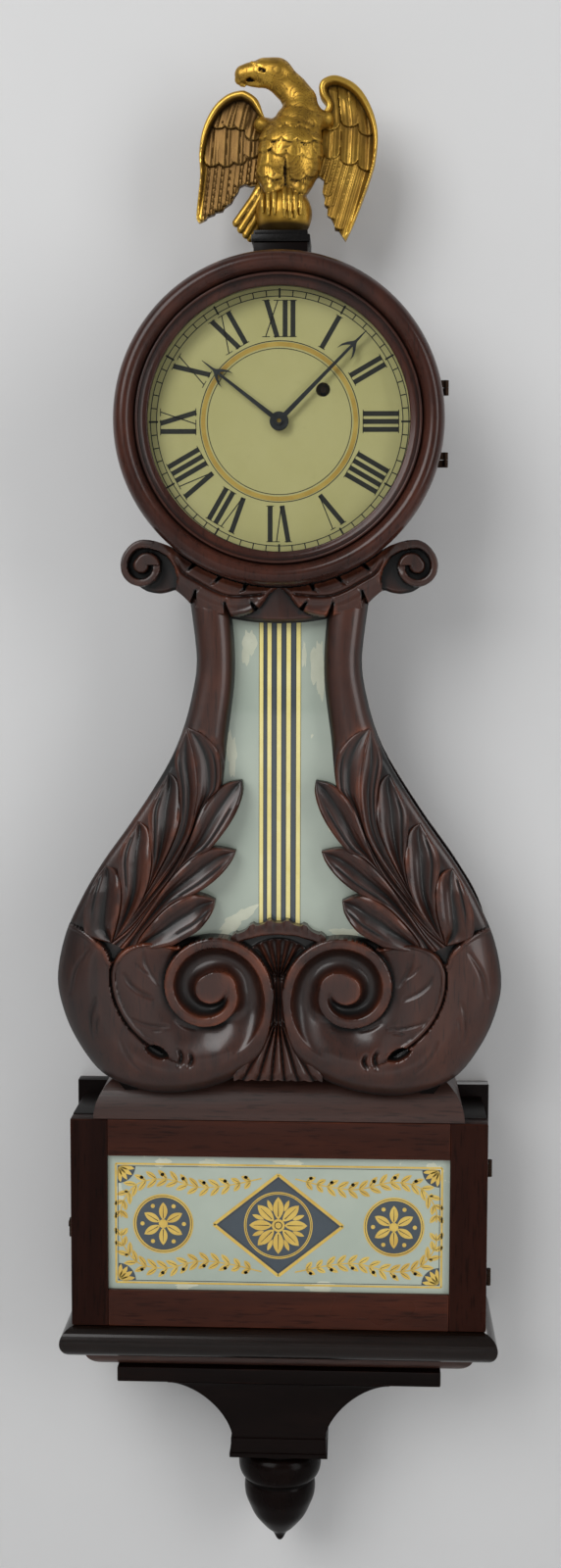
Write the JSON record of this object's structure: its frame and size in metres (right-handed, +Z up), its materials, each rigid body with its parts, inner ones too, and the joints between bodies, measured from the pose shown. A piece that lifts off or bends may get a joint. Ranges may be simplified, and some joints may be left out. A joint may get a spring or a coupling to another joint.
{
  "type": "lyre clock",
  "caption": "Wall clock with a round glazed dial head, carved lyre-shaped throat with striped glass, glazed pendulum box on a bracket with a drop, and a gilt eagle finial.",
  "frame": {"origin": "centre of the hanging hole on the back face of the backboard", "axes": "+X right as seen from the front, +Y into the wall, +Z up"},
  "size_m": [0.3112, 0.1182, 1.0613],
  "materials": {
    "mahogany": "satin, worn",
    "dark_wood": "satin",
    "inner_wood": "raw",
    "gilt": "antique gilding",
    "ebonised": "black lacquer",
    "brass": "satin",
    "steel": "satin",
    "blued_steel": "dark satin",
    "clear_glass": "clear",
    "painted_glass": "reverse painted",
    "dial_paint": "aged cream paint",
    "lead": "dull",
    "line": "twisted"
  },
  "bodies": {
    "case": {"backboard": "dark_wood", "head_drum": "mahogany", "throat_side_left": "dark_wood", "throat_side_right": "dark_wood", "lyre_left": "mahogany", "lyre_right": "mahogany", "crest_carving": "mahogany", "lyre_shell": "mahogany", "throat_glass": "painted_glass", "glass_cleats": "inner_wood", "plinth_moulding": "mahogany", "box_top": "mahogany", "box_bottom": "dark_wood", "box_side_left": "mahogany", "box_side_right": "mahogany", "base_torus": "dark_wood", "base_ovolo": "dark_wood", "bracket_plank": "dark_wood", "bracket_cove": "dark_wood", "drop_finial": "dark_wood", "perch_neck": "dark_wood", "perch_cap": "ebonised", "eagle_orb": "gilt", "eagle_body": "gilt", "eagle_wing_left": "gilt", "eagle_wing_right": "gilt", "case_hinge_leaves": "brass", "dial": "dial_paint", "dial_posts": "brass", "front_plate": "brass", "back_plate": "brass", "plate_pillars": "brass", "movement_screws": "steel", "pendulum_cock": "brass", "weight_baffle": "steel", "weight_line": "line"},
    "bezel": {"bezel_ring": "mahogany", "bezel_glass": "clear_glass", "glass_retainer": "dark_wood", "bezel_hinge_leaves": "brass"},
    "box_door": {"door_stiles": "mahogany", "door_rails": "mahogany", "tablet_glass": "painted_glass", "tablet_beads": "inner_wood", "door_hinge_leaves": "brass"},
    "door_button": {"door_button": "brass"},
    "great_wheel": {"great_wheel": "brass"},
    "winding_barrel": {"winding_barrel": "brass"},
    "centre_wheel": {"centre_wheel": "brass"},
    "third_wheel": {"third_wheel": "brass"},
    "escape_wheel": {"escape_wheel": "brass"},
    "verge": {"verge": "steel"},
    "pendulum": {"pendulum_rod": "steel", "pendulum_bob": "brass", "rating_nut": "brass"},
    "minute_hand": {"minute_hand": "blued_steel"},
    "minute_wheel": {"minute_wheel": "brass"},
    "hour_hand": {"hour_hand": "blued_steel"},
    "weight": {"weight": "lead"},
    "weight_pulley": {"weight_pulley": "brass"}
  },
  "joints": [
    {"name": "bezel_hinge", "type": "hinge", "parent": "case", "child": "bezel", "pos_m": [0.1123, -0.09415, -0.076], "axis": [0, 0, 1], "range_deg": [0, 110]},
    {"name": "box_door_hinge", "type": "hinge", "parent": "case", "child": "box_door", "pos_m": [0.1497, -0.072, -0.63745], "axis": [0, 0, 1], "range_deg": [0, 110]},
    {"name": "door_button_turn", "type": "hinge", "parent": "box_door", "child": "door_button", "pos_m": [-0.148, -0.079, -0.64045], "axis": [1, 0, 0], "range_deg": [0, 90]},
    {"name": "minute_hand_turn", "type": "hinge", "parent": "case", "child": "minute_hand", "pos_m": [0, -0.097, -0.076], "axis": [0, 1, 0], "continuous": true},
    {"name": "hour_hand_turn", "type": "hinge", "parent": "case", "child": "hour_hand", "pos_m": [0, -0.094, -0.076], "axis": [0, 1, 0], "continuous": true},
    {"name": "minute_wheel_turn", "type": "hinge", "parent": "case", "child": "minute_wheel", "pos_m": [0.01131, -0.05, -0.08731], "axis": [0, 1, 0], "continuous": true},
    {"name": "centre_wheel_turn", "type": "hinge", "parent": "case", "child": "centre_wheel", "pos_m": [0, -0.0315, -0.076], "axis": [0, 1, 0], "continuous": true},
    {"name": "great_wheel_turn", "type": "hinge", "parent": "case", "child": "great_wheel", "pos_m": [0.0295, -0.0375, -0.0546], "axis": [0, 1, 0], "continuous": true},
    {"name": "third_wheel_turn", "type": "hinge", "parent": "case", "child": "third_wheel", "pos_m": [-0.01934, -0.0215, -0.0618], "axis": [0, 1, 0], "continuous": true},
    {"name": "escape_wheel_turn", "type": "hinge", "parent": "case", "child": "escape_wheel", "pos_m": [-0.006, -0.0275, -0.045], "axis": [0, 1, 0], "continuous": true},
    {"name": "pendulum_swing", "type": "hinge", "parent": "case", "child": "pendulum", "pos_m": [0, -0.059, -0.026], "axis": [0, 1, 0], "range_deg": [-3, 3]},
    {"name": "verge_rock", "type": "hinge", "parent": "case", "child": "verge", "pos_m": [0, -0.0265, -0.026], "axis": [0, 1, 0], "range_deg": [-3, 3]},
    {"name": "weight_slide", "type": "slide", "parent": "case", "child": "weight", "axis": [0, 0, 1], "range_m": [0, 0.36], "deforming": ["weight_line"]},
    {"name": "barrel_turn", "type": "hinge", "parent": "case", "child": "winding_barrel", "pos_m": [0.0295, -0.0265, -0.0546], "axis": [0, 1, 0], "range_deg": [0, 4800]},
    {"name": "pulley_turn", "type": "hinge", "parent": "weight", "child": "weight_pulley", "pos_m": [0.0085, -0.0265, -0.5552], "axis": [0, 1, 0], "range_deg": [-1670, 0]}
  ],
  "couplings": [
    {"joint": "hour_hand_turn", "follows": "minute_hand_turn", "ratio": 0.083333},
    {"joint": "minute_wheel_turn", "follows": "minute_hand_turn", "ratio": -0.33333},
    {"joint": "great_wheel_turn", "follows": "centre_wheel_turn", "ratio": -0.083333},
    {"joint": "third_wheel_turn", "follows": "centre_wheel_turn", "ratio": -9},
    {"joint": "escape_wheel_turn", "follows": "centre_wheel_turn", "ratio": 78.75},
    {"joint": "verge_rock", "follows": "pendulum_swing", "ratio": 1},
    {"joint": "barrel_turn", "follows": "weight_slide", "rad_per_m": 232.56},
    {"joint": "pulley_turn", "follows": "weight_slide", "rad_per_m": -80.645}
  ]
}
